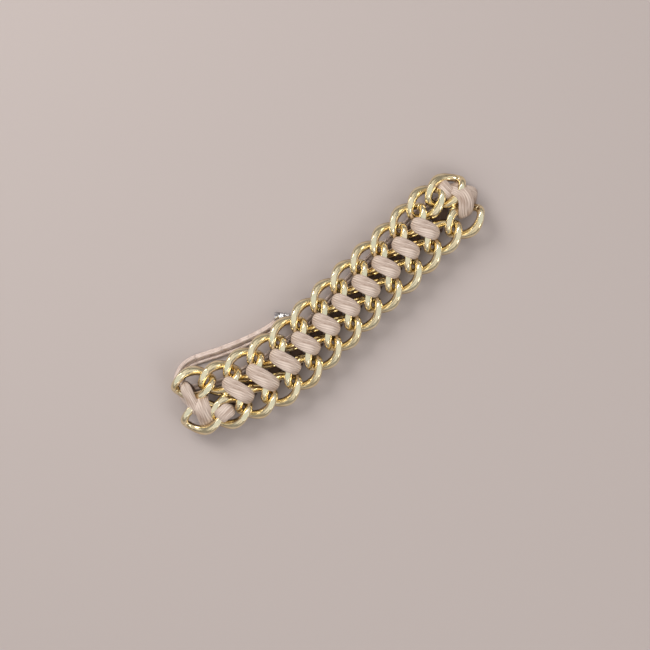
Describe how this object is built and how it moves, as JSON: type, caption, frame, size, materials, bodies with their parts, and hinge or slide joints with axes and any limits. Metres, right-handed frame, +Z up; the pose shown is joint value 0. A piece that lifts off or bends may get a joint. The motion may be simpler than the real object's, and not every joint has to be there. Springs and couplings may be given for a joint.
{
  "type": "laced chain bracelet",
  "caption": "Stretch bracelet: two gold curb chains laced side by side with satin cord over a bundle of elastic strands closed by a crimp",
  "frame": {"origin": "centre of the bounding box in X and Y, on the plane that the band rests on", "axes": "+X along the strip, +Y towards the upper chain, +Z up through the strip's thickness, top face up"},
  "size_m": [0.0934, 0.0248, 0.0083],
  "materials": {
    "gold_metal": "polished pale gold plating with diamond-cut flats",
    "satin_cord": "dusty rose satin cord, fine lengthwise ribs, soft sheen",
    "elastic_cord": "matt braided elastic",
    "crimp_metal": "bright knurled crimp"
  },
  "bodies": {
    "left_end": {"upper_link_01": "gold_metal", "lower_link_01": "gold_metal", "lower_link_02": "gold_metal", "left_binding_outer": "satin_cord", "left_binding_inner": "satin_cord", "elastic_band_01": "elastic_cord", "elastic_bow_01": "elastic_cord"},
    "row_01": {"upper_link_02": "gold_metal", "lower_link_03": "gold_metal", "lacing_turn_01": "satin_cord", "elastic_band_02": "elastic_cord", "elastic_bow_02": "elastic_cord"},
    "row_02": {"upper_link_03": "gold_metal", "lower_link_04": "gold_metal", "lacing_turn_02": "satin_cord", "elastic_band_03": "elastic_cord", "elastic_bow_03": "elastic_cord"},
    "row_03": {"upper_link_04": "gold_metal", "lower_link_05": "gold_metal", "lacing_turn_03": "satin_cord", "elastic_band_04": "elastic_cord", "elastic_bow_04": "elastic_cord"},
    "row_04": {"upper_link_05": "gold_metal", "lower_link_06": "gold_metal", "lacing_turn_04": "satin_cord", "elastic_band_05": "elastic_cord", "elastic_bow_05": "elastic_cord", "crimp": "crimp_metal"},
    "row_05": {"upper_link_06": "gold_metal", "lower_link_07": "gold_metal", "lacing_turn_05": "satin_cord", "elastic_band_06": "elastic_cord"},
    "row_06": {"upper_link_07": "gold_metal", "lower_link_08": "gold_metal", "lacing_turn_06": "satin_cord", "elastic_band_07": "elastic_cord"},
    "row_07": {"upper_link_08": "gold_metal", "lower_link_09": "gold_metal", "lacing_turn_07": "satin_cord", "elastic_band_08": "elastic_cord"},
    "row_08": {"upper_link_09": "gold_metal", "lower_link_10": "gold_metal", "lacing_turn_08": "satin_cord", "elastic_band_09": "elastic_cord"},
    "row_09": {"upper_link_10": "gold_metal", "lower_link_11": "gold_metal", "lacing_turn_09": "satin_cord", "elastic_band_10": "elastic_cord"},
    "row_10": {"upper_link_11": "gold_metal", "lower_link_12": "gold_metal", "lacing_turn_10": "satin_cord", "elastic_band_11": "elastic_cord"},
    "right_end": {"upper_link_12": "gold_metal", "upper_link_13": "gold_metal", "lower_link_13": "gold_metal", "right_binding_outer": "satin_cord", "right_binding_inner": "satin_cord", "elastic_band_12": "elastic_cord"}
  },
  "joints": [
    {"name": "curl_01", "type": "hinge", "parent": "row_01", "child": "left_end", "pos_m": [-0.03349, -0.00054, 0.00465], "axis": [0.3188, -0.9478, 0], "range_deg": [-12, 7]},
    {"name": "curl_02", "type": "hinge", "parent": "row_02", "child": "row_01", "pos_m": [-0.02693, -0.00232, 0.00465], "axis": [0.3583, -0.9336, 0], "range_deg": [-12, 7]},
    {"name": "curl_03", "type": "hinge", "parent": "row_03", "child": "row_02", "pos_m": [-0.02012, -0.00303, 0.00465], "axis": [0.3772, -0.9261, 0], "range_deg": [-12, 15]},
    {"name": "curl_04", "type": "hinge", "parent": "row_04", "child": "row_03", "pos_m": [-0.01326, -0.00287, 0.00465], "axis": [0.4122, -0.9111, 0], "range_deg": [-12, 15]},
    {"name": "curl_05", "type": "hinge", "parent": "row_05", "child": "row_04", "pos_m": [-0.00637, -0.00223, 0.00465], "axis": [0.4353, -0.9003, 0], "range_deg": [-12, 15]},
    {"name": "curl_06", "type": "hinge", "parent": "row_06", "child": "row_05", "pos_m": [0.00052, -0.00145, 0.00465], "axis": [0.4372, -0.8994, 0], "range_deg": [-12, 15]},
    {"name": "curl_07", "type": "hinge", "parent": "row_06", "child": "row_07", "pos_m": [0.00738, -0.00062, 0.00465], "axis": [-0.4323, 0.9017, 0], "range_deg": [-12, 15]},
    {"name": "curl_08", "type": "hinge", "parent": "row_07", "child": "row_08", "pos_m": [0.01422, 0.00013, 0.00465], "axis": [-0.4367, 0.8996, 0], "range_deg": [-12, 15]},
    {"name": "curl_09", "type": "hinge", "parent": "row_08", "child": "row_09", "pos_m": [0.02102, 0.00092, 0.00465], "axis": [-0.4501, 0.893, 0], "range_deg": [-12, 15]},
    {"name": "curl_10", "type": "hinge", "parent": "row_09", "child": "row_10", "pos_m": [0.0278, 0.00181, 0.00465], "axis": [-0.463, 0.8863, 0], "range_deg": [-12, 15]},
    {"name": "curl_11", "type": "hinge", "parent": "row_10", "child": "right_end", "pos_m": [0.03446, 0.00249, 0.00465], "axis": [-0.4704, 0.8824, 0], "range_deg": [-12, 12]}
  ]
}
